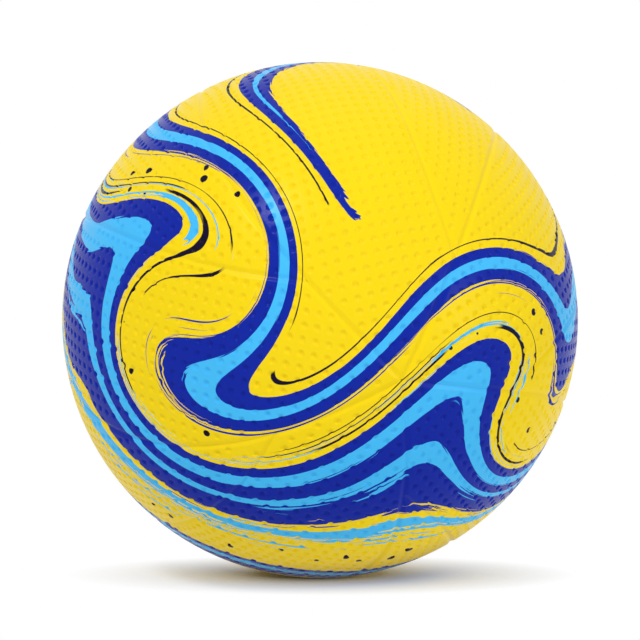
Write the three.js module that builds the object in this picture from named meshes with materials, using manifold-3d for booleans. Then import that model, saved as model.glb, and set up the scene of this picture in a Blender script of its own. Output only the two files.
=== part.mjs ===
import * as THREE from 'three';
import { mergeVertices } from 'three/addons/utils/BufferGeometryUtils.js';
import Module from 'manifold-3d';

// Ball and the layers of its wall, in millimetres
const BALL_DIAMETER = 210;
const COVER_THICKNESS = 1.4;
const CARCASS_THICKNESS = 0.8;
const BLADDER_THICKNESS = 0.7;
const LAYER_GAP = 0.3;

// Seams between the cover panels: a wide shallow groove over a narrow gap
const PANEL_GAP = 0.3;
const SEAM_WIDTH = 3.3;
const SEAM_DEPTH = 0.5;

// Panel outline: angles in degrees, seen from the pole where five panels meet
const PANELS_PER_POLE = 5;
const JUNCTION_ANGLE = 26.07;
const SWIRL_ANGLE = 15.1;
const SWIRL_EASE = 0.86;
const TIP_SHARE = 0.379;
const TIP_POWER = 7.1;

// How the ball lies: where its pole points, and where the first seam crosses the equator
const POLE_AZIMUTH = -74.06;
const POLE_ELEVATION = -11.4;
const SEAM_LONGITUDE = 121.26;

// Valve core: a plug with a head, a locking bulb and a blind bore for the needle
const CORE_DIAMETER = 5;
const CORE_LENGTH = 13;
const HEAD_OVERHANG = 1.2;
const HEAD_THICKNESS = 1.1;
const HEAD_RECESS = 0.2;
const BULB_BULGE = 0.7;
const BULB_LENGTH = 3;
const BULB_HEIGHT = 2.6;
const NEEDLE_BORE_DIAMETER = 1.8;
const NEEDLE_LIP = 3;
const FUNNEL_FLARE = 0.7;
const FUNNEL_DEPTH = 1.2;

// Valve housing: stem through the wall, flange under the bladder, barrel round the core
const VALVE_PANEL = 7;
const VALVE_ANGLE = 76;
const STEM_RECESS = 0.4;
const STEM_WALL = 1;
const FLANGE_WIDTH = 12;
const FLANGE_THICKNESS = 1.2;
const BARREL_WALL = 2.3;
const BARREL_FLOOR = 2;
const AIR_HOLE_DIAMETER = 2.4;
const FIT_GAP = 0.3;

// Fineness of the faceted surfaces
const PANEL_COLUMNS = 6;
const ROW_STEP = 6;
const JUNCTION_ROWS = [4, 7, 11, 16];
const CELL_ANGLE = 7;
const SHELL_SEGMENTS = 36;
const SHELL_STEPS = 18;
const VALVE_SEGMENTS = 36;

// Finishes
const COVER_RUBBER = { color: 0xf7da1b, roughness: 0.42 };
const LATEX_THREAD = { color: 0xcfcdc4, roughness: 0.85 };
const BUTYL = { color: 0x1d1c1d, roughness: 0.55 };
const VALVE_RUBBER = { color: 0x24297a, roughness: 0.6 };
const CORE_RUBBER = { color: 0x232326, roughness: 0.5 };

// Radii that follow from the sizes above
const coverRadius = BALL_DIAMETER / 2;
const coverInside = coverRadius - COVER_THICKNESS;
const cellSag = Math.cos(rad(CELL_ANGLE) / Math.SQRT2);
const carcassOutside = coverInside * cellSag - LAYER_GAP;
const carcassInside = carcassOutside - CARCASS_THICKNESS;
const bladderOutside = carcassInside - LAYER_GAP;
const bladderInside = bladderOutside - BLADDER_THICKNESS;
const flangeOutside = bladderInside - LAYER_GAP;
const flangeInside = flangeOutside - FLANGE_THICKNESS;

// Valve radii, from the core outwards
const shankRadius = CORE_DIAMETER / 2;
const headRadius = shankRadius + HEAD_OVERHANG;
const bulbRadius = shankRadius + BULB_BULGE;
const needleRadius = NEEDLE_BORE_DIAMETER / 2;
const headPocketRadius = headRadius + FIT_GAP;
const boreRadius = shankRadius + FIT_GAP;
const bulbPocketRadius = bulbRadius + FIT_GAP;
const stemRadius = headPocketRadius + STEM_WALL;
const barrelRadius = bulbPocketRadius + BARREL_WALL;
const flangeRadius = stemRadius + FLANGE_WIDTH;
const wallHoleRadius = stemRadius + FIT_GAP;

// Heights along the valve's axis, from the ball's centre
const stemTop = coverRadius - STEM_RECESS;
const coreTop = stemTop - HEAD_RECESS;
const headSeat = coreTop - HEAD_THICKNESS;
const coreEnd = coreTop - CORE_LENGTH;
const bulbMiddle = coreEnd + BULB_HEIGHT;
const pocketFloor = coreEnd - FIT_GAP;
const barrelEnd = pocketFloor - BARREL_FLOOR;

// Closeness, in millimetres, at which points are welded and an edge counts as drawn together
const weldDistance = 1e-4;
const leastEdge = 1e-3;

function rad(degrees) {
  return THREE.MathUtils.degToRad(degrees);
}

// Seam lines on the unit ball, longitude as a function of the angle from the pole
const quarter = Math.PI / 2;
const sector = 2 * Math.PI / PANELS_PER_POLE;
const junction = rad(JUNCTION_ANGLE);
const junctionReach = quarter - junction;

function poleSeam(angle) {
  const lean = Math.sin(SWIRL_EASE * Math.sin(quarter - angle)) / Math.sin(SWIRL_EASE);
  return rad(SWIRL_ANGLE) * lean;
}

function slantSeam(angle) {
  const reach = (quarter - angle) / junctionReach;
  const straight = (1 - TIP_SHARE) * reach;
  const hooked = TIP_SHARE * Math.sign(reach) * Math.abs(reach) ** TIP_POWER;
  return poleSeam(angle) + sector / 2 * (1 - straight - hooked);
}

// Longitude step that moves a seam point sideways by a given distance
function sideStep(seam, angle, distance) {
  const nudge = 1e-4;
  const slope = (seam(angle + nudge) - seam(angle - nudge)) / (2 * nudge);
  const stretch = Math.hypot(1, Math.sin(angle) * slope);
  const sine = Math.sin(distance / coverRadius) * stretch / Math.sin(angle);
  return Math.asin(Math.min(1, sine));
}

function inset(seam, angle, distance) {
  return seam(angle) + sideStep(seam, angle, Math.abs(distance)) * Math.sign(distance);
}

function lowSide(angle, distance) {
  return Math.max(inset(poleSeam, angle, distance), inset(slantSeam, angle, distance));
}

function highSide(angle, distance) {
  return sector + inset(poleSeam, angle, -distance);
}

function rootOf(f, from, to) {
  const halvings = 60;
  const rising = f(to) > 0;
  let low = from;
  let high = to;
  for (let i = 0; i < halvings; i++) {
    const middle = (low + high) / 2;
    if ((f(middle) > 0) === rising) high = middle;
    else low = middle;
  }
  return (low + high) / 2;
}

// Rows of a panel from its pole corner to its sharp tip, closer together at the junctions
function rowAngles() {
  const south = 180 - JUNCTION_ANGLE;
  const from = JUNCTION_ANGLE + JUNCTION_ROWS.at(-1);
  const to = south - JUNCTION_ROWS.at(-1);
  const count = Math.round((to - from) / ROW_STEP);
  const rows = [];
  for (let row = ROW_STEP; row < JUNCTION_ANGLE - ROW_STEP; row += ROW_STEP) rows.push(row);
  rows.push(JUNCTION_ANGLE - JUNCTION_ROWS[0]);
  rows.push(JUNCTION_ANGLE);
  for (const step of JUNCTION_ROWS) rows.push(JUNCTION_ANGLE + step);
  for (let i = 1; i < count; i++) rows.push(from + (to - from) * i / count);
  for (const step of JUNCTION_ROWS.toReversed()) rows.push(south - step);
  return rows.map(rad);
}

function onBall(radius, angle, longitude) {
  const fromAxis = radius * Math.sin(angle);
  const x = fromAxis * Math.cos(longitude);
  const y = fromAxis * Math.sin(longitude);
  return new THREE.Vector3(x, y, radius * Math.cos(angle));
}

// Both sides of a panel's outline, a given distance inside its seams
function outline(distance) {
  const width = (angle) => highSide(angle, distance) - lowSide(angle, distance);
  const bend = (angle) => inset(slantSeam, angle, distance) - inset(poleSeam, angle, distance);
  const first = rootOf(width, distance / coverRadius / 2, junction);
  const last = rootOf(width, quarter, Math.PI - junction);
  const corner = rootOf(bend, junction / 2, quarter);
  const rows = rowAngles();
  const low = [first, ...rows.map((row) => (row === junction ? corner : row)), last];
  const high = [first, ...rows, last];
  return {
    low: low.map((angle) => onBall(1, angle, lowSide(angle, distance))),
    high: high.map((angle) => onBall(1, angle, highSide(angle, distance))),
  };
}

function across(from, to, radius, columns) {
  const points = [];
  for (let i = 0; i <= columns; i++) {
    points.push(from.clone().lerp(to, i / columns).setLength(radius));
  }
  return points;
}

// One moulded panel: face, sloped edges that form half of each seam, walls and back
function panelGeometry() {
  const lip = outline(SEAM_WIDTH / 2);
  const edge = outline(PANEL_GAP / 2);
  const grooveRadius = coverRadius - SEAM_DEPTH;
  const rings = edge.low.map((edgeLow, row) => {
    const edgeHigh = edge.high[row];
    return [
      edgeLow.clone().setLength(grooveRadius),
      ...across(lip.low[row], lip.high[row], coverRadius, PANEL_COLUMNS),
      edgeHigh.clone().setLength(grooveRadius),
      ...across(edgeHigh, edgeLow, coverInside, PANEL_COLUMNS),
    ];
  });
  return skinOver(rings);
}

// Closed skin over a stack of rings, whose end rings have drawn together
function skinOver(rings) {
  const corners = [];
  for (let row = 1; row < rings.length; row++) {
    const above = rings[row - 1];
    const below = rings[row];
    for (let i = 0; i < above.length; i++) {
      const next = (i + 1) % above.length;
      pushFace(corners, above[i], below[i], below[next]);
      pushFace(corners, above[i], below[next], above[next]);
    }
  }
  const positions = new Float32Array(corners.flatMap((point) => point.toArray()));
  const geometry = new THREE.BufferGeometry();
  geometry.setAttribute('position', new THREE.BufferAttribute(positions, 3));
  return mergeVertices(geometry, weldDistance);
}

function pushFace(corners, a, b, c) {
  const shortest = Math.min(a.distanceTo(b), b.distanceTo(c), c.distanceTo(a));
  if (shortest >= leastEdge) corners.push(a, b, c);
}

// Cuts with closed solids
const wasm = await Module();
wasm.setup();

function solidOf(geometry) {
  const bare = geometry.clone();
  bare.deleteAttribute('normal');
  bare.deleteAttribute('uv');
  const merged = mergeVertices(bare, weldDistance);
  return new wasm.Manifold(new wasm.Mesh({
    numProp: 3,
    vertProperties: new Float32Array(merged.attributes.position.array),
    triVerts: new Uint32Array(merged.index.array),
  }));
}

function geometryOf(solid) {
  const mesh = solid.getMesh();
  const geometry = new THREE.BufferGeometry();
  geometry.setAttribute('position', new THREE.BufferAttribute(mesh.vertProperties, 3));
  geometry.setIndex(new THREE.BufferAttribute(mesh.triVerts, 1));
  return geometry;
}

// Direction of the valve in its own panel: halfway between the panel's sides
function valveDirection() {
  const angle = rad(VALVE_ANGLE);
  return onBall(1, angle, (lowSide(angle, 0) + highSide(angle, 0)) / 2);
}

function standOn(object, direction) {
  object.quaternion.setFromUnitVectors(new THREE.Vector3(0, 1, 0), direction);
  return object;
}

function panelWithHole(panel) {
  const reach = 4 * COVER_THICKNESS;
  const drill = new THREE.CylinderGeometry(wallHoleRadius, wallHoleRadius, reach, VALVE_SEGMENTS);
  drill.translate(0, coverRadius, 0);
  const tool = standOn(new THREE.Object3D(), valveDirection());
  tool.updateMatrix();
  drill.applyMatrix4(tool.matrix);
  return geometryOf(solidOf(panel).subtract(solidOf(drill)));
}

// Turned shapes: points are (distance from the valve's axis, distance from the ball's centre)
function arc(radius, from, to, steps) {
  const points = [];
  for (let i = 0; i <= steps; i++) {
    const angle = from + (to - from) * i / steps;
    const fromAxis = radius * Math.sin(angle);
    points.push(new THREE.Vector2(fromAxis < leastEdge ? 0 : fromAxis, radius * Math.cos(angle)));
  }
  return points;
}

// Hollow ball with a straight-walled hole for the valve's stem
function shellGeometry(outside, inside) {
  const flangeAngle = Math.asin(flangeRadius / flangeOutside);
  const outerRim = Math.asin(wallHoleRadius / outside);
  const innerRim = Math.asin(wallHoleRadius / inside);
  const profile = [
    ...arc(outside, Math.PI, flangeAngle, SHELL_STEPS),
    ...arc(outside, flangeAngle, outerRim, 1).slice(1),
    ...arc(inside, innerRim, flangeAngle, 1),
    ...arc(inside, flangeAngle, Math.PI, SHELL_STEPS).slice(1),
  ];
  return new THREE.LatheGeometry(profile, SHELL_SEGMENTS);
}

function heightAt(radius, fromAxis) {
  return Math.sqrt(radius ** 2 - fromAxis ** 2);
}

function turned(points) {
  const profile = points.map(([fromAxis, height]) => new THREE.Vector2(fromAxis, height));
  return new THREE.LatheGeometry(profile, VALVE_SEGMENTS);
}

function housingGeometry() {
  const airHole = AIR_HOLE_DIAMETER / 2;
  const pocketHalf = BULB_LENGTH / 2 + FIT_GAP;
  return turned([
    [headPocketRadius, stemTop],
    [headPocketRadius, headSeat - FIT_GAP],
    [boreRadius, headSeat - FIT_GAP],
    [boreRadius, bulbMiddle + pocketHalf],
    [bulbPocketRadius, bulbMiddle],
    [boreRadius, bulbMiddle - pocketHalf],
    [boreRadius, pocketFloor],
    [airHole, pocketFloor],
    [airHole, barrelEnd],
    [barrelRadius, barrelEnd],
    [barrelRadius, heightAt(flangeInside, barrelRadius)],
    [flangeRadius, heightAt(flangeInside, flangeRadius)],
    [flangeRadius, heightAt(flangeOutside, flangeRadius)],
    [stemRadius, heightAt(flangeOutside, stemRadius)],
    [stemRadius, stemTop],
    [headPocketRadius, stemTop],
  ]);
}

function coreGeometry() {
  const needleEnd = coreEnd + NEEDLE_LIP;
  return turned([
    [0, coreEnd],
    [shankRadius, coreEnd],
    [shankRadius, bulbMiddle - BULB_LENGTH / 2],
    [bulbRadius, bulbMiddle],
    [shankRadius, bulbMiddle + BULB_LENGTH / 2],
    [shankRadius, headSeat],
    [headRadius, headSeat],
    [headRadius, coreTop],
    [needleRadius + FUNNEL_FLARE, coreTop],
    [needleRadius, coreTop - FUNNEL_DEPTH],
    [needleRadius, needleEnd],
    [0, needleEnd],
  ]);
}

// One named piece with its finish
function piece(name, geometry, finish) {
  const mesh = new THREE.Mesh(geometry, new THREE.MeshStandardMaterial({ ...finish, metalness: 0 }));
  mesh.name = name;
  return mesh;
}

// Turn that carries the first panel to each of its places: round the pole, then end over end
function panelTurn(index) {
  const pole = new THREE.Vector3(0, 0, 1);
  const around = new THREE.Quaternion().setFromAxisAngle(pole, sector * (index % PANELS_PER_POLE));
  const flip = new THREE.Quaternion();
  if (index >= PANELS_PER_POLE) flip.setFromAxisAngle(new THREE.Vector3(1, 0, 0), Math.PI);
  return around.multiply(flip);
}

// Assembly, first with the pole upright and the first seam at longitude zero
const ball = new THREE.Group();
const panelShape = panelGeometry();
const valvePanelShape = panelWithHole(panelShape);
for (let index = 0; index < 2 * PANELS_PER_POLE; index++) {
  const shape = index === VALVE_PANEL - 1 ? valvePanelShape : panelShape;
  const panel = piece(`cover_panel_${index + 1}`, shape, COVER_RUBBER);
  panel.quaternion.copy(panelTurn(index));
  ball.add(panel);
}

// Everything round the valve's axis
const insides = new THREE.Group();
insides.add(piece('wound_carcass', shellGeometry(carcassOutside, carcassInside), LATEX_THREAD));
insides.add(piece('bladder', shellGeometry(bladderOutside, bladderInside), BUTYL));
insides.add(piece('valve_housing', housingGeometry(), VALVE_RUBBER));
insides.add(piece('valve_core', coreGeometry(), CORE_RUBBER));
standOn(insides, valveDirection().applyQuaternion(panelTurn(VALVE_PANEL - 1)));
ball.add(insides);

// Lay the ball down as it rests
const elevation = rad(POLE_ELEVATION);
const azimuth = rad(POLE_AZIMUTH);
const pole = new THREE.Vector3(
  Math.cos(elevation) * Math.cos(azimuth),
  Math.cos(elevation) * Math.sin(azimuth),
  Math.sin(elevation),
);
const level = new THREE.Vector3(0, 0, 1).cross(pole).normalize();
const upward = pole.clone().cross(level);
const lie = new THREE.Matrix4().makeBasis(level, upward, pole);
const turn = new THREE.Matrix4().makeRotationZ(rad(SEAM_LONGITUDE));
ball.applyMatrix4(lie.multiply(turn));

const volleyball = new THREE.Group();
volleyball.add(ball);

export default volleyball;
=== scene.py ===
import math

import bmesh
import bpy
import numpy as np
from mathutils import Matrix, Vector


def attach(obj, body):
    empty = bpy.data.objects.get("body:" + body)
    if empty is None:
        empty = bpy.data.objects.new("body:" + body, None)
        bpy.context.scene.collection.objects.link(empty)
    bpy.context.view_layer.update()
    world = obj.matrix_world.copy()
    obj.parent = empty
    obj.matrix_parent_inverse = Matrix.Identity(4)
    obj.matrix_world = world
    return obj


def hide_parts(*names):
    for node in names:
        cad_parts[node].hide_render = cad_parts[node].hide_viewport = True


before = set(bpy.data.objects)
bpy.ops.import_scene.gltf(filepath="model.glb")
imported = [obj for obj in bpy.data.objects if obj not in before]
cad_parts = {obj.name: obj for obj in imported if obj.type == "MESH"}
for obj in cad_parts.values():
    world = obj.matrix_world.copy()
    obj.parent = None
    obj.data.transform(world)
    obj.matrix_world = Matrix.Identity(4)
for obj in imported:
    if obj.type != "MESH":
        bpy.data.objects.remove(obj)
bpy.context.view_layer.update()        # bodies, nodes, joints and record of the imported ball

# The ball: sizes in metres, angles in degrees from the pole where five panels meet
ball = {
    "radius": 0.105,
    "coverThickness": 0.0014,
    "panelsPerPole": 5,
    "junctionAngle": 26.07,
    "swirlAngle": 15.1,
    "swirlEase": 0.86,
    "tipShare": 0.379,
    "tipPower": 7.1,
    "poleAzimuth": -74.06,
    "poleElevation": -11.4,
    "seamLongitude": 121.26,
}
quarter = math.pi / 2
sector = 2 * math.pi / ball["panelsPerPole"]
junction = math.radians(ball["junctionAngle"])


def say(stage):
    print("volleyball:", stage)


# Seam lines: longitude as a function of the angle from the pole
def poleSeam(angle):
    ease = ball["swirlEase"]
    lean = np.sin(ease * np.sin(quarter - angle)) / math.sin(ease)
    return math.radians(ball["swirlAngle"]) * lean


def slantSeam(angle):
    reach = (quarter - angle) / (quarter - junction)
    straight = (1 - ball["tipShare"]) * reach
    hooked = ball["tipShare"] * np.sign(reach) * np.abs(reach) ** ball["tipPower"]
    return poleSeam(angle) + sector / 2 * (1 - straight - hooked)


# Metres from a seam line, positive on the side of growing longitude
def pastSeam(seam, angle, longitude):
    nudge = 1e-4        # radians
    slope = (seam(angle + nudge) - seam(angle - nudge)) / (2 * nudge)
    stretch = np.hypot(1, np.sin(angle) * slope)
    turn = np.clip(longitude - seam(angle), -quarter, quarter)
    return ball["radius"] * np.arcsin(np.sin(turn) * np.sin(angle) / stretch)


def insidePanel(directions):        # metres from the nearest seam, negative outside the panel
    farAway = 1        # metres: round the pole the slanting seam doesn't count
    angle = np.arccos(np.clip(directions[..., 2], -1, 1))
    longitude = np.arctan2(directions[..., 1], directions[..., 0])
    fromLow = pastSeam(poleSeam, angle, longitude)
    fromHigh = -pastSeam(poleSeam, angle, longitude - sector)
    fromSlant = np.where(angle < junction / 2, farAway, pastSeam(slantSeam, angle, longitude))
    return np.minimum(np.minimum(fromLow, fromHigh), fromSlant)


def onBall(angle, longitude):
    return np.array([
        math.sin(angle) * math.cos(longitude),
        math.sin(angle) * math.sin(longitude),
        math.cos(angle),
    ])


def pointingTo(azimuth, elevation):        # unit vector, in the frame that the ball lies in
    across, up = math.radians(azimuth), math.radians(elevation)
    return Vector((math.cos(up) * math.cos(across), math.cos(up) * math.sin(across), math.sin(up)))


# How the ball lies, and the turn that takes the first panel to each of its places
def layDown():
    pole = pointingTo(ball["poleAzimuth"], ball["poleElevation"])
    level = Vector((0, 0, 1)).cross(pole).normalized()
    upward = pole.cross(level)
    basis = Matrix((level, upward, pole)).transposed().to_4x4()
    return basis @ Matrix.Rotation(math.radians(ball["seamLongitude"]), 4, "Z")


def panelPlace(number):
    index = number - 1
    around = Matrix.Rotation(sector * (index % ball["panelsPerPole"]), 4, "Z")
    flip = Matrix.Rotation(math.pi if index >= ball["panelsPerPole"] else 0, 4, "X")
    return layDown() @ around @ flip


# Valve: sizes in metres, heights from the ball's centre along the valve's axis
valve = {
    "panel": 7,
    "angle": 76,
    "coreDiameter": 0.005,
    "coreLength": 0.013,
    "headOverhang": 0.0012,
    "headThickness": 0.0011,
    "headRecess": 0.0002,
    "bulbBulge": 0.0007,
    "bulbLength": 0.003,
    "bulbHeight": 0.0026,
    "needleBore": 0.0018,
    "needleLip": 0.003,
    "funnelFlare": 0.0007,
    "funnelDepth": 0.0012,
    "stemRecess": 0.0004,
    "stemWall": 0.001,
    "flangeWidth": 0.012,
    "flangeThickness": 0.0012,
    "flangeOutside": 0.10081,
    "barrelWall": 0.0023,
    "barrelFloor": 0.002,
    "airHole": 0.0024,
    "fitGap": 0.0003,
    "edgeRound": 0.00022,
    "roundShare": 0.45,        # of an edge's length, the most that a round takes
    "roundSteps": 4,
    "segments": 120,
    "weldGap": 1e-7,
}


def valveDirection():        # halfway between the sides of its panel, in the panel's own frame
    angle = math.radians(valve["angle"])
    low = max(poleSeam(angle), slantSeam(angle))
    return onBall(angle, (low + sector + poleSeam(angle)) / 2)


holeRadius = (valve["coreDiameter"] / 2 + valve["headOverhang"] + valve["stemWall"]
              + 2 * valve["fitGap"])


# Moulded panel: the square grid of pits, the seam groove and the fineness of the skin
panel = {
    "pitAcross": 0.004498,
    "pitAlong": 0.004619,
    "pitShiftAcross": -0.00148,
    "pitShiftAlong": -0.0006,
    "pitWidth": 0.0024,
    "pitDepth": 0.00072,
    "pitToSeam": 0.0021,
    "seamWidth": 0.0036,
    "seamDepth": 0.00062,
    "seamGap": 0.00002,
    "holeRound": 0.0006,
    "cellsPerPit": 11,
    "backCellsPerPit": 2,
    "snapShare": 0.33,        # of a cell: points this near the outline are moved onto it
    "leastSteep": 0.2,        # keeps those moves short at the corners
}

# Where the mould's grid lies on the first panel, and how its lines bend over the ball
mould = {
    "centreAngle": 120.2,
    "centreLongitude": 55.2,
    "twist": 2.14,
    "acrossNarrows": -0.021,
    "acrossBends": -0.035,
    "acrossHooks": 0.002,
    "alongWidens": 0.058,
    "alongBends": -0.124,
    "reachAcross": 0.075,
    "reachAlong": (-0.09, 0.25),
    "searchRounds": 12,        # to find where a point of the grid lies on the ball
}


def mouldAxes():
    centre = onBall(math.radians(mould["centreAngle"]), math.radians(mould["centreLongitude"]))
    north = np.array([0, 0, 1.0]) - centre * centre[2]
    north /= np.linalg.norm(north)
    east = np.cross(north, centre)
    twist = math.radians(mould["twist"])
    along = north * math.cos(twist) + east * math.sin(twist)
    across = east * math.cos(twist) - north * math.sin(twist)
    return centre, along, across


def gridToBall(across, along):        # unit directions of points of the mould's grid
    targetX, targetY = across / ball["radius"], along / ball["radius"]
    x, y = np.zeros_like(targetX), targetY.copy()
    for _ in range(mould["searchRounds"]):
        y = (targetY - mould["alongBends"] * x ** 2) / (1 + mould["alongWidens"] * x ** 2)
        bend = mould["acrossBends"] * y ** 2 + mould["acrossHooks"] * y ** 3
        x = (targetX - bend) / (1 + mould["acrossNarrows"] * y ** 2)
        x = np.clip(x, -quarter, quarter)
    centre, alongAxis, acrossAxis = mouldAxes()
    forward, side = np.cos(x) * np.cos(y), np.cos(x) * np.sin(y)
    return (forward[..., None] * centre + side[..., None] * alongAxis
            + np.sin(x)[..., None] * acrossAxis)


def fromHole(directions):        # metres outside the valve's hole
    cosine = np.clip(directions @ valveDirection(), -1, 1)
    return ball["radius"] * np.arccos(cosine) - holeRadius


def skinField(directions, withHole):
    field = insidePanel(directions) - panel["seamGap"] / 2
    return np.minimum(field, fromHole(directions)) if withHole else field


# Square grid cut along the panel's outline: where its points lie on the mould, and its faces
def cutGrid(cellsPerPit, withHole):
    stepA, stepB = panel["pitAcross"] / cellsPerPit, panel["pitAlong"] / cellsPerPit
    firstA = -math.floor(mould["reachAcross"] / panel["pitAcross"]) * cellsPerPit
    firstB = math.floor(mould["reachAlong"][0] / panel["pitAlong"]) * cellsPerPit
    lastB = math.floor(mould["reachAlong"][1] / panel["pitAlong"]) * cellsPerPit
    rowsA = np.arange(firstA, -firstA + 1)
    rowsB = np.arange(firstB, lastB + 1)
    across, along = np.meshgrid(rowsA * stepA + panel["pitShiftAcross"],
                                rowsB * stepB + panel["pitShiftAlong"], indexing="ij")
    field = skinField(gridToBall(across, along), withHole)
    slopeA, slopeB = np.gradient(field, stepA, stepB)
    steep = np.maximum(slopeA ** 2 + slopeB ** 2, panel["leastSteep"])
    near = np.abs(field) < panel["snapShare"] * min(stepA, stepB)
    across = np.where(near, across - field * slopeA / steep, across)
    along = np.where(near, along - field * slopeB / steep, along)
    field = np.where(near, 0, field)
    size = field.shape
    numbers = np.arange(field.size).reshape(size)
    corners = np.stack([numbers[:-1, :-1], numbers[1:, :-1], numbers[1:, 1:], numbers[:-1, 1:]], -1)
    values = field.ravel()[corners]
    kept = (values > 0).any(-1)
    whole = kept & (values >= 0).all(-1)
    faces = [tuple(int(corner) for corner in face) for face in corners[whole]]
    flatA, flatB, flatField = list(across.ravel()), list(along.ravel()), field.ravel()
    crossings = {}

    def crossing(start, end):
        key = (min(start, end), max(start, end))
        if key not in crossings:
            share = flatField[start] / (flatField[start] - flatField[end])
            crossings[key] = len(flatA)
            flatA.append(flatA[start] + (flatA[end] - flatA[start]) * share)
            flatB.append(flatB[start] + (flatB[end] - flatB[start]) * share)
        return crossings[key]

    for face in corners[kept & ~whole]:
        cut = []
        for start, end in zip(face, np.roll(face, -1)):
            start, end = int(start), int(end)
            if flatField[start] >= 0:
                cut.append(start)
            if flatField[start] * flatField[end] < 0:
                cut.append(crossing(start, end))
        if len(cut) > 2:
            faces.append(tuple(cut))
    used = sorted({corner for face in faces for corner in face})
    renumber = {old: new for new, old in enumerate(used)}
    faces = [tuple(renumber[corner] for corner in face) for face in faces]
    return np.array(flatA)[used], np.array(flatB)[used], faces


def openLoops(faces):        # closed runs of the edges that only one face has, longest first
    edges = {}
    for face in faces:
        for start, end in zip(face, face[1:] + face[:1]):
            if (end, start) in edges:
                del edges[(end, start)]
            else:
                edges[(start, end)] = True
    following = dict(edges.keys())
    loops = []
    while following:
        start, step = following.popitem()
        loop = [start]
        while step != start:
            loop.append(step)
            step = following.pop(step)
        loops.append(loop)
    return sorted(loops, key=len, reverse=True)


def zipLoops(points, front, back):        # triangles between two loops that run the same way
    nearest = min(range(len(back)), key=lambda k: (points[back[k]] - points[front[0]]).length)
    back = back[nearest:] + back[:nearest]
    front, back = front + front[:1], back + back[:1]
    faces, i, j = [], 0, 0
    while i < len(front) - 1 or j < len(back) - 1:
        canFront, canBack = i < len(front) - 1, j < len(back) - 1
        if canFront and canBack:
            stepFront = (points[front[i + 1]] - points[back[j]]).length
            stepBack = (points[back[j + 1]] - points[front[i]]).length
            canFront = stepFront <= stepBack
        if canFront:
            faces.append((front[i + 1], front[i], back[j]))
            i += 1
        else:
            faces.append((front[i], back[j], back[j + 1]))
            j += 1
    return faces


def pitBelow(across, along, withHole):        # how deep the moulded pits lie below the skin
    rowA = np.round((across - panel["pitShiftAcross"]) / panel["pitAcross"])
    rowB = np.round((along - panel["pitShiftAlong"]) / panel["pitAlong"])
    middleA = rowA * panel["pitAcross"] + panel["pitShiftAcross"]
    middleB = rowB * panel["pitAlong"] + panel["pitShiftAlong"]
    room = skinField(gridToBall(middleA, middleB), withHole)
    away = np.hypot(across - middleA, along - middleB) / (panel["pitWidth"] / 2)
    bowl = np.clip(1 - away ** 2, 0, 1)
    return panel["pitDepth"] * bowl * (room > panel["pitToSeam"])


def skinRadius(across, along, withHole):
    directions = gridToBall(across, along)
    seam = np.clip(insidePanel(directions) / (panel["seamWidth"] / 2), 0, 1)
    below = panel["seamDepth"] * (1 + np.cos(math.pi * seam)) / 2
    below += pitBelow(across, along, withHole)
    if withHole:
        rim = np.clip(1 - fromHole(directions) / panel["holeRound"], 0, 1)
        below += panel["holeRound"] * (1 - np.sqrt(1 - rim ** 2)) / 2
    return ball["radius"] - below


def panelMesh(name, withHole):
    across, along, faces = cutGrid(panel["cellsPerPit"], withHole)
    radius = skinRadius(across, along, withHole)
    front = gridToBall(across, along) * radius[:, None]
    backAcross, backAlong, backFaces = cutGrid(panel["backCellsPerPit"], withHole)
    back = gridToBall(backAcross, backAlong) * (ball["radius"] - ball["coverThickness"])
    points = [Vector(point) for point in np.vstack([front, back])]
    backFaces = [tuple(corner + len(front) for corner in face) for face in backFaces]
    walls = []
    for frontLoop, backLoop in zip(openLoops(faces), openLoops(backFaces)):
        walls += zipLoops(points, frontLoop, backLoop)
    mesh = bpy.data.meshes.new(name)
    mesh.from_pydata(points, [], faces + [face[::-1] for face in backFaces] + walls)
    mesh.polygons.foreach_set("use_smooth", [True] * len(mesh.polygons))
    mesh.update()
    sharpen(mesh, len(faces))
    return mesh


def sharpen(mesh, frontFaces):        # crisp edges all round the outer skin
    owners = {}
    for index, polygon in enumerate(mesh.polygons):
        group = 0 if index < frontFaces else 1
        for key in polygon.edge_keys:
            owners.setdefault(key, set()).add(group)
    for edge in mesh.edges:
        if len(owners[edge.key]) > 1:
            edge.use_edge_sharp = True


# Colours are written as they look (sRGB), then turned to the renderer's linear values
def colour(code):
    parts = [int(code[i:i + 2], 16) / 255 for i in (1, 3, 5)]
    linear = [part / 12.92 if part <= 0.04045 else ((part + 0.055) / 1.055) ** 2.4 for part in parts]
    return (*linear, 1)


def isVector(item):
    if isinstance(item, Wire):
        return item.socket.type in ("VECTOR", "RGBA")
    return not isinstance(item, (int, float))


class Wire:        # one output of a shader node: sums on it add the nodes that they need
    def __init__(self, tree, socket):
        self.tree, self.socket = tree, socket

    def into(self, node, name):
        self.tree.links.new(self.socket, node.inputs[name])

    def join(self, operation, first, second):
        kind = "ShaderNodeVectorMath" if isVector(first) or isVector(second) else "ShaderNodeMath"
        return addNode(self.tree, kind, {"operation": operation}, {0: first, 1: second})

    def __add__(self, other):
        return self.join("ADD", self, other)

    def __radd__(self, other):
        return self.join("ADD", other, self)

    def __sub__(self, other):
        return self.join("SUBTRACT", self, other)

    def __rsub__(self, other):
        return self.join("SUBTRACT", other, self)

    def __mul__(self, other):
        return self.join("MULTIPLY", self, other)

    def __truediv__(self, other):
        return self.join("DIVIDE", self, other)


def addNode(tree, kind, settings=None, sockets=None, output=0):
    node = tree.nodes.new(kind)
    for name, value in (settings or {}).items():
        setattr(node, name, value)
    for name, value in (sockets or {}).items():
        target = node.inputs[name]
        if isinstance(value, Wire):
            tree.links.new(value.socket, target)
        elif target.type == "VECTOR" and isinstance(value, (int, float)):
            target.default_value = (value, value, value)
        else:
            target.default_value = value
    return Wire(tree, node.outputs[output])


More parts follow.
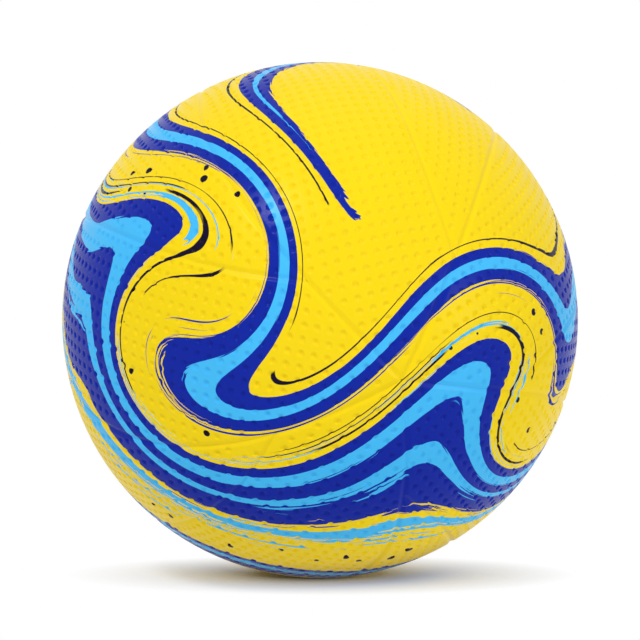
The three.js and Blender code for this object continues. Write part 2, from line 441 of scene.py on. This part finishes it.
def mathOf(operation, *values):
    tree = next(value.tree for value in values if isinstance(value, Wire))
    return addNode(tree, "ShaderNodeMath", {"operation": operation}, dict(enumerate(values)))


def dotWith(wire, direction):
    dot = {"operation": "DOT_PRODUCT"}
    return addNode(wire.tree, "ShaderNodeVectorMath", dot, {0: wire, 1: tuple(direction)}, "Value")


def largest(*masks):
    result = masks[0]
    for mask in masks[1:]:
        result = mathOf("MAXIMUM", result, mask)
    return result


def noise(where, scale=1, detail=1, roughness=0.5):        # swings both ways round 0
    sockets = {"Vector": where, "Scale": scale, "Detail": detail, "Roughness": roughness}
    return addNode(where.tree, "ShaderNodeTexNoise", None, sockets) - 0.5


def above(value, edge, soft=0.05):        # 1 where a value lies above an edge, with a thin soft step
    sockets = {"Value": value, "From Min": edge - soft, "From Max": edge + soft}
    return addNode(value.tree, "ShaderNodeMapRange", None, sockets)


def between(value, low, high, soft=0.05):
    return above(value, low, soft) * (1 - above(value, high, soft))


def tint(factor, first, second):        # sockets 6 and 7 and output 2 of the node are its colours
    mix = {"data_type": "RGBA"}
    return addNode(factor.tree, "ShaderNodeMix", mix, {0: factor, 6: first, 7: second}, 2)


def unitOf(wire):
    return addNode(wire.tree, "ShaderNodeVectorMath", {"operation": "NORMALIZE"}, {0: wire})


def newMaterial(name):        # a material with its shader and the place on the object
    material = bpy.data.materials.new(name)
    material.use_nodes = True
    tree = material.node_tree
    place = addNode(tree, "ShaderNodeTexCoord", None, None, "Object")
    return material, tree.nodes["Principled BSDF"], place


def bump(height, distance):
    return addNode(height.tree, "ShaderNodeBump", None, {"Distance": distance, "Height": height})


# Printed cover: ribbons of ink that flow round the ball and curl round a few points of it.
# Edges are millimetres across the flow, counted from its middle line
cover = {
    "yellow": "#fddd18",
    "royalBlue": "#1229a4",
    "skyBlue": "#49c2ff",
    "nearBlack": "#150c2c",
    "gloss": 0.06,
    "roughness": 0.29,
    "inkRoughness": 0.25,
    "mottle": 0.05,
    "mottleScale": 60,
    "mottleRoughness": 0.08,
    "grain": 0.00002,
    "grainScale": 2600,
    "grainRoughness": 0.6,
    "flowAxis": (-70, 58),
    "curls": [        # azimuth, elevation, turn in radians, reach in radians
        (-116, 2, 2.9, 0.46),
        (-44, -14, 2.2, 0.40),
        (22, 6, -2.6, 0.44),
        (88, -12, 2.7, 0.44),
        (160, 14, -2.6, 0.44),
        (-72, 50, -1.5, 0.36),
        (110, -58, 1.6, 0.42),
    ],
    "ribbons": [        # ink, lower edge, upper edge, fray of the lower edge, and what dryness adds to it
        ("skyBlue", -34, -29, 5, 14),
        ("royalBlue", -25, 17, 6, 22),
        ("skyBlue", 1, 9.5, 3, 9),
        ("skyBlue", -13, -7.5, 6, 16),
        ("royalBlue", 53, 76, 4, 14),
        ("skyBlue", 62.5, 69.5, 4, 8),
        ("royalBlue", -84, -65, 4, 14),
        ("skyBlue", -74, -69, 4, 8),
    ],
    "lines": [        # lower edge, width, and how readily the line breaks off
        (22, 1.5, -0.04),
        (26.5, 0.9, 0.0),
        (31, 0.7, -0.02),
        (80, 1.0, -0.1),
    ],
    "hairs": [        # ink, lower edge, upper edge: thin streaks that the brush leaves beside a ribbon
        ("skyBlue", -50, -22),
        ("skyBlue", 10, 33),
        ("royalBlue", 44, 58),
        ("skyBlue", -96, -80),
    ],
}

# The brush: noises over the ball that fray, sway and break its strokes. Frays and sways are
# the whole width in millimetres over which a noise moves an edge
brush = {
    "streakScale": 3,
    "streakWidth": 1.3,
    "streakDetail": 3,
    "swayScale": 5,
    "swayWidth": 5,
    "patchScale": 2.2,
    "dryEdge": 0.03,
    "drySoft": 0.1,
    "upperFray": 3,
    "upperSway": 2,
    "lowerSway": 3,
    "hairScale": 2.5,
    "hairWidth": 1.5,
    "hairEdge": 0.1,
    "hairLift": 0.4,
    "hairFade": 6,
    "hairSoft": 0.01,
    "lineFray": 1.5,
    "lineSway": 2,
    "breakScale": 0.5,
    "breakSoft": 0.01,
}

# Drops of ink in two bands: millimetres, the rim as a share of the spacing, patches as noise levels
drop = {
    "spacing": 10,
    "radius": 1.6,
    "rim": 0.006,
    "bands": [(20, 54), (-66, -38)],
    "bandFade": 9,
    "patchEdge": -0.08,
    "patchSoft": 0.05,
}

# A crescent round each end of the flow, thick on one side: millimetres, and shares of its thickness
crescent = {
    "edge": 112,
    "towards": (125, 30),
    "swell": 0.34,
    "tail": 20,
    "innerFray": 4,
    "outerFray": 7,
    "crestStart": 3,
    "crestStartShare": 0.25,
    "crestEnd": -1,
    "crestEndShare": 0.7,
    "crestFray": 6,
    "stroke": (-6, -4.7),
    "strokeFray": 2,
    "strokeFrom": 4,
    "strokeSoft": 0.1,
}
mmPerRadian = ball["radius"] * 1000


def curled(point, azimuth, elevation, turn, reach):
    centre = pointingTo(azimuth, elevation)
    closeness = mathOf("EXPONENT", (dotWith(point, centre) - 1) * (2 / reach ** 2))
    sockets = {"Vector": point, "Axis": tuple(centre), "Angle": closeness * turn}
    return addNode(point.tree, "ShaderNodeVectorRotate", {"rotation_type": "AXIS_ANGLE"}, sockets)


# The next five functions give layers of the print, each an ink and the mask of where it lies
def inkDrops(point, height, patches):        # small drops beside the ribbons, smaller the farther away
    sockets = {"Vector": point, "Scale": mmPerRadian / drop["spacing"]}
    away = addNode(point.tree, "ShaderNodeTexVoronoi", None, sockets, "Distance")
    near = largest(*(between(height, *band, drop["bandFade"]) for band in drop["bands"]))
    some = above(patches, drop["patchEdge"], drop["patchSoft"])
    reach = near * some * (drop["radius"] / drop["spacing"])
    return [("nearBlack", above(reach - away, 0, drop["rim"]))]


def hairStreaks(height, hair):
    layers = []
    for ink, low, high in cover["hairs"]:
        band = between(height, low, high, brush["hairFade"]) * brush["hairLift"]
        layers.append((ink, above(hair + band, brush["hairEdge"] + brush["hairLift"], brush["hairSoft"])))
    return layers


def ribbons(height, streak, sway, patches):        # a brush runs dry in patches
    dry = above(patches, brush["dryEdge"], brush["drySoft"])
    upper = height + streak * brush["upperFray"] + sway * brush["upperSway"]
    layers = []
    for ink, low, high, wetFray, dryFray in cover["ribbons"]:
        lower = height + streak * (wetFray + dry * dryFray) + sway * brush["lowerSway"]
        layers.append((ink, above(lower, low) * (1 - above(upper, high))))
    return layers


def crescents(flow, height, streak):        # each with a paler crest inside and a thin line beside it
    edge = crescent["edge"]
    cap = mathOf("ABSOLUTE", height)
    sideways = dotWith(flow, pointingTo(*crescent["towards"])) * mmPerRadian
    thick = (sideways + crescent["tail"]) * crescent["swell"]
    inner = cap + streak * crescent["innerFray"]
    body = above(inner, edge) * above(thick - cap - streak * crescent["outerFray"], -edge)
    crest = above(inner - thick * crescent["crestStartShare"], edge + crescent["crestStart"])
    outer = thick * crescent["crestEndShare"] - cap - streak * crescent["crestFray"]
    crest = crest * above(outer, -edge - crescent["crestEnd"])
    low, high = crescent["stroke"]
    stroke = between(cap + streak * crescent["strokeFray"], edge + low, edge + high)
    stroke = stroke * above(thick, crescent["strokeFrom"], crescent["strokeSoft"])
    return [("royalBlue", body), ("skyBlue", crest * body), ("nearBlack", stroke)]


def brokenLines(height, streak, sway, softWay):        # lines that break off and start again
    line = height + sway * brush["lineSway"] + streak * brush["lineFray"]
    layers = []
    for low, width, breaks in cover["lines"]:
        drawn = above(noise(softWay + low, brush["breakScale"]), breaks, brush["breakSoft"])
        layers.append(("nearBlack", between(line, low, low + width) * drawn))
    return layers


def printedInk(point):        # the colour of the print, and 1 where there is ink
    flow = point
    for curl in cover["curls"]:
        flow = curled(flow, *curl)
    axis = tuple(pointingTo(*cover["flowAxis"]))
    sine = dotWith(flow, axis)
    height = mathOf("ARCSINE", sine) * mmPerRadian

    def way(lengthwise, width):        # drawn out along the ribbons, one unit per width across them
        return flow * lengthwise + (height / width - sine * lengthwise) * axis

    streak = noise(way(brush["streakScale"], brush["streakWidth"]), detail=brush["streakDetail"])
    hair = noise(way(brush["hairScale"], brush["hairWidth"]))
    softWay = way(brush["swayScale"], brush["swayWidth"])
    sway = noise(softWay)
    patches = noise(point, brush["patchScale"])
    layers = inkDrops(point, height, patches) + hairStreaks(height, hair)
    layers += ribbons(height, streak, sway, patches) + crescents(flow, height, streak)
    layers += brokenLines(height, streak, sway, softWay)
    shade = colour(cover["yellow"])
    for ink, mask in layers:
        shade = tint(mask, shade, colour(cover[ink]))
    return shade, largest(*(mask for ink, mask in layers))


def coverMaterial():
    material, shader, place = newMaterial("printedRubber")
    ink, inked = printedInk(unitOf(place))
    mottle = noise(place, cover["mottleScale"], detail=2)
    (ink * (1 - mottle * cover["mottle"])).into(shader, "Base Color")
    rough = cover["roughness"] + inked * (cover["inkRoughness"] - cover["roughness"])
    (rough + mottle * cover["mottleRoughness"]).into(shader, "Roughness")
    grain = noise(place, cover["grainScale"], 2, cover["grainRoughness"])
    bump(grain, cover["grain"]).into(shader, "Normal")
    shader.inputs["Specular IOR Level"].default_value = cover["gloss"]
    return material


# Winding of the carcass: thread laid on in many directions and set in latex
winding = {
    "latex": "#c9c3b2",
    "thread": "#eeeade",
    "threadSpacing": 0.0014,
    "threadSoft": 0.8,
    "sag": 0.003,
    "sagScale": 2,
    "directions": [(12, 8), (70, 30), (130, -25), (200, 55), (305, -50), (250, 5)],
    "patchScale": 2.3,
    "patchEdge": 0.02,
    "patchSoft": 0.01,
    "poleSine": 0.75,        # sine of the height beyond which a direction lays no thread
    "depth": 0.0001,
    "roughness": 0.7,
    "roughnessSwing": 0.3,
    "roughnessScale": 21,
}


def threadMaterial():
    material, shader, place = newMaterial("latexThread")
    point = unitOf(place)
    soft = winding["patchSoft"]
    sag = noise(point, winding["sagScale"]) * winding["sag"]
    ridges = None
    for number, direction in enumerate(winding["directions"]):
        sine = dotWith(point, pointingTo(*direction))
        across = mathOf("ARCSINE", sine) * ball["radius"] + sag
        ridge = mathOf("SINE", across * (2 * math.pi / winding["threadSpacing"]))
        laid = above(noise(point + number, winding["patchScale"]), winding["patchEdge"], soft)
        laid = laid * (1 - above(mathOf("ABSOLUTE", sine), winding["poleSine"], soft))
        ridges = ridge if ridges is None else ridges + laid * (ridge - ridges)
    shade = above(ridges, 0, winding["threadSoft"])
    tint(shade, colour(winding["latex"]), colour(winding["thread"])).into(shader, "Base Color")
    swing = noise(point, winding["roughnessScale"], detail=2) * winding["roughnessSwing"]
    (winding["roughness"] + swing).into(shader, "Roughness")
    bump(ridges, winding["depth"]).into(shader, "Normal")
    return material


# Plain moulded rubber, faintly mottled
rubber = {
    "housing": ("#24297a", 0.5, 3000),        # colour, roughness, scale of the grain
    "core": ("#232326", 0.42, 3000),
    "bladder": ("#1d1c1d", 0.55, 1800),
    "grain": 0.00003,
    "mottleScale": 90,
    "mottleSoft": 0.4,
    "mottleRoughness": 0.15,
    "darkShare": 0.8,
}


def rubberMaterial(name, piece):
    code, roughness, grainScale = rubber[piece]
    material, shader, place = newMaterial(name)
    mottle = noise(place, rubber["mottleScale"], detail=3)
    light = colour(code)
    dark = (*(rubber["darkShare"] * part for part in light[:3]), 1)
    tint(above(mottle, 0, rubber["mottleSoft"]), light, dark).into(shader, "Base Color")
    (roughness + mottle * rubber["mottleRoughness"]).into(shader, "Roughness")
    bump(noise(place, grainScale, detail=2), rubber["grain"]).into(shader, "Normal")
    return material


def addObject(name, data):
    thing = bpy.data.objects.new(name, data)
    bpy.context.scene.collection.objects.link(thing)
    return thing


# Valve pieces turned about the valve's axis, with small rounds on their edges
def roundedProfile(points):
    result = []
    for before, corner, after in zip(points[-1:] + points[:-1], points, points[1:] + points[:1]):
        before, corner, after = Vector(before), Vector(corner), Vector(after)
        if corner.x < valve["weldGap"]:        # on the axis
            result.append(corner)
            continue
        backward, forward = before - corner, after - corner
        shorter = min(backward.length, forward.length)
        cut = min(valve["edgeRound"], shorter * valve["roundShare"])
        start, end = corner + backward.normalized() * cut, corner + forward.normalized() * cut
        for k in range(valve["roundSteps"] + 1):
            share = k / valve["roundSteps"]
            result.append(start.lerp(corner, share).lerp(corner.lerp(end, share), share))
    return result


def turnedPiece(name, profile, closed):
    profile = roundedProfile(profile)
    count, segments = len(profile), valve["segments"]
    points, faces = [], []
    for segment in range(segments):
        turn = 2 * math.pi * segment / segments
        for point in profile:
            points.append((point.x * math.cos(turn), point.x * math.sin(turn), point.y))
    last = count if closed else count - 1
    for segment in range(segments):
        here, there = segment * count, (segment + 1) % segments * count
        for k in range(last):
            following = (k + 1) % count
            faces.append((here + k, there + k, there + following, here + following))
    mesh = bpy.data.meshes.new(name)
    mesh.from_pydata(points, [], faces)
    tidyMesh(mesh)
    direction = panelPlace(valve["panel"]) @ Vector(valveDirection())
    mesh.transform(direction.to_track_quat("Z", "Y").to_matrix().to_4x4())
    return addObject(name, mesh)


def tidyMesh(mesh):        # welds the points on the axis and turns every face outwards
    body = bmesh.new()
    body.from_mesh(mesh)
    bmesh.ops.remove_doubles(body, verts=body.verts, dist=valve["weldGap"])
    bmesh.ops.dissolve_degenerate(body, edges=body.edges, dist=valve["weldGap"])
    bmesh.ops.recalc_face_normals(body, faces=body.faces)
    body.to_mesh(mesh)
    body.free()
    mesh.polygons.foreach_set("use_smooth", [True] * len(mesh.polygons))
    mesh.update()


def valveSizes():
    v = valve
    shank = v["coreDiameter"] / 2
    stemTop = ball["radius"] - v["stemRecess"]
    coreTop = stemTop - v["headRecess"]
    coreEnd = coreTop - v["coreLength"]
    return {
        "shank": shank,
        "head": shank + v["headOverhang"],
        "bulb": shank + v["bulbBulge"],
        "needle": v["needleBore"] / 2,
        "stemTop": stemTop,
        "coreTop": coreTop,
        "headSeat": coreTop - v["headThickness"],
        "coreEnd": coreEnd,
        "bulbMiddle": coreEnd + v["bulbHeight"],
        "bulbHalf": v["bulbLength"] / 2,
    }


def onShell(radius, fromAxis):        # height of a round shell beside the valve's axis
    return math.sqrt(radius ** 2 - fromAxis ** 2)


def housingProfile():
    s, gap = valveSizes(), valve["fitGap"]
    headPocket, bore, bulbPocket = s["head"] + gap, s["shank"] + gap, s["bulb"] + gap
    stem = headPocket + valve["stemWall"]
    barrel = bulbPocket + valve["barrelWall"]
    flange = stem + valve["flangeWidth"]
    outside = valve["flangeOutside"]
    inside = outside - valve["flangeThickness"]
    floor = s["coreEnd"] - gap
    end = floor - valve["barrelFloor"]
    return [
        (headPocket, s["stemTop"]),
        (headPocket, s["headSeat"] - gap),
        (bore, s["headSeat"] - gap),
        (bore, s["bulbMiddle"] + s["bulbHalf"] + gap),
        (bulbPocket, s["bulbMiddle"]),
        (bore, s["bulbMiddle"] - s["bulbHalf"] - gap),
        (bore, floor),
        (valve["airHole"] / 2, floor),
        (valve["airHole"] / 2, end),
        (barrel, end),
        (barrel, onShell(inside, barrel)),
        (flange, onShell(inside, flange)),
        (flange, onShell(outside, flange)),
        (stem, onShell(outside, stem)),
        (stem, s["stemTop"]),
    ]


def coreProfile():
    s = valveSizes()
    return [
        (0, s["coreEnd"]),
        (s["shank"], s["coreEnd"]),
        (s["shank"], s["bulbMiddle"] - s["bulbHalf"]),
        (s["bulb"], s["bulbMiddle"]),
        (s["shank"], s["bulbMiddle"] + s["bulbHalf"]),
        (s["shank"], s["headSeat"]),
        (s["head"], s["headSeat"]),
        (s["head"], s["coreTop"]),
        (s["needle"] + valve["funnelFlare"], s["coreTop"]),
        (s["needle"], s["coreTop"] - valve["funnelDepth"]),
        (s["needle"], s["coreEnd"] + valve["needleLip"]),
        (0, s["coreEnd"] + valve["needleLip"]),
    ]


# Studio: the camera stands at the photograph's angle, level with the ball's centre. The floor's
# shadow fades to white at the reach that it has in the photograph
studio = {
    "cameraDistance": 0.583,
    "cameraAngle": 25.6,
    "clip": (0.01, 50),
    "lamps": [        # name, place, size, power
        ("key", (-0.42, -0.90, 1.0), 0.24, 7.8),
        ("top", (0, -0.05, 1.3), 1.0, 2.2),
        ("side", (1.2, -0.75, 0.15), 0.5, 4.1),
    ],
    "worldLevel": 0.42,
    "floorHalf": 6.0,
    "floorRoughness": 0.9,
    "shadowReach": 0.065,
    "shadowFade": 0.04,
    "shadowNarrows": 2.3,        # times as narrow from front to back as from side to side
}


def aim(thing, target):
    thing.rotation_euler = (Vector(target) - thing.location).to_track_quat("-Z", "Y").to_euler()


def makeCamera():
    data = bpy.data.cameras.new("camera")
    data.angle = math.radians(studio["cameraAngle"])
    data.clip_start, data.clip_end = studio["clip"]
    camera = addObject("camera", data)
    camera.location = (0, -studio["cameraDistance"], 0)
    aim(camera, (0, 0, 0))
    bpy.context.scene.camera = camera


def areaLight(name, place, size, power):
    data = bpy.data.lights.new(name, "AREA")
    data.size, data.energy = size, power
    light = addObject(name, data)
    light.location = place
    aim(light, (0, 0, 0))


def makeFloor():
    half, low = studio["floorHalf"], -ball["radius"]
    corners = [(-half, -half, low), (half, -half, low), (half, half, low), (-half, half, low)]
    mesh = bpy.data.meshes.new("floor")
    mesh.from_pydata(corners, [], [(0, 1, 2, 3)])
    floor = addObject("floor", mesh)
    material, shader, place = newMaterial("paleFloor")
    shader.inputs["Base Color"].default_value = (1, 1, 1, 1)
    shader.inputs["Roughness"].default_value = studio["floorRoughness"]
    shader.inputs["Specular IOR Level"].default_value = 0
    tree = place.tree
    glow = addNode(tree, "ShaderNodeEmission", None, {"Color": (1, 1, 1, 1), "Strength": 1.0})
    across = place * (1, studio["shadowNarrows"], 0)
    away = addNode(tree, "ShaderNodeVectorMath", {"operation": "LENGTH"}, {0: across}, "Value")
    far = above(away, studio["shadowReach"], studio["shadowFade"])
    sockets = {0: far * seenRay(tree), 1: Wire(tree, shader.outputs[0]), 2: glow}
    addNode(tree, "ShaderNodeMixShader", None, sockets).into(tree.nodes["Material Output"], "Surface")
    mesh.materials.append(material)


def seenRay(tree):        # 1 for what the eye sees, straight or in a reflection
    kinds = ("Is Camera Ray", "Is Glossy Ray", "Is Transmission Ray")
    return largest(*(addNode(tree, "ShaderNodeLightPath", None, None, kind) for kind in kinds))


def makeWorld():
    world = bpy.data.worlds.new("studio")
    bpy.context.scene.world = world
    world.use_nodes = True
    tree = world.node_tree
    background = tree.nodes["Background"]
    background.inputs["Color"].default_value = (1, 1, 1, 1)
    level = studio["worldLevel"] + seenRay(tree) * (1 - studio["worldLevel"])
    level.into(background, "Strength")


def refinish(name, material):        # a CAD solid keeps its shape and gets this material alone
    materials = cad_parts[name].data.materials
    materials.clear()
    materials.append(material)


makeCamera()
say("camera set")
makeWorld()
for lamp in studio["lamps"]:
    areaLight(*lamp)
makeFloor()
bpy.context.scene.view_settings.view_transform = "Standard"
say("studio set")

coverFinish = coverMaterial()
plainMesh = panelMesh("panelSkin", False)
holedMesh = panelMesh("valvePanelSkin", True)
say(f"panel skin of {len(plainMesh.polygons)} faces")
for number in range(1, 2 * ball["panelsPerPole"] + 1):
    source = holedMesh if number == valve["panel"] else plainMesh
    mesh = source.copy()
    mesh.transform(panelPlace(number))
    mesh.materials.append(coverFinish)
    skin = addObject(f"cover_skin_{number}", mesh)
    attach(skin, "root")
    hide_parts(f"cover_panel_{number}")
bpy.data.meshes.remove(plainMesh)
bpy.data.meshes.remove(holedMesh)
say("cover panels placed")

housing = turnedPiece("valve_housing_rubber", housingProfile(), True)
housing.data.materials.append(rubberMaterial("valveRubber", "housing"))
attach(housing, "root")
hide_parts("valve_housing")
core = turnedPiece("valve_core_plug", coreProfile(), False)
core.data.materials.append(rubberMaterial("plugRubber", "core"))
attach(core, "root")
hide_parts("valve_core")
say("valve placed")

refinish("wound_carcass", threadMaterial())
refinish("bladder", rubberMaterial("butyl", "bladder"))
say("inner layers finished")
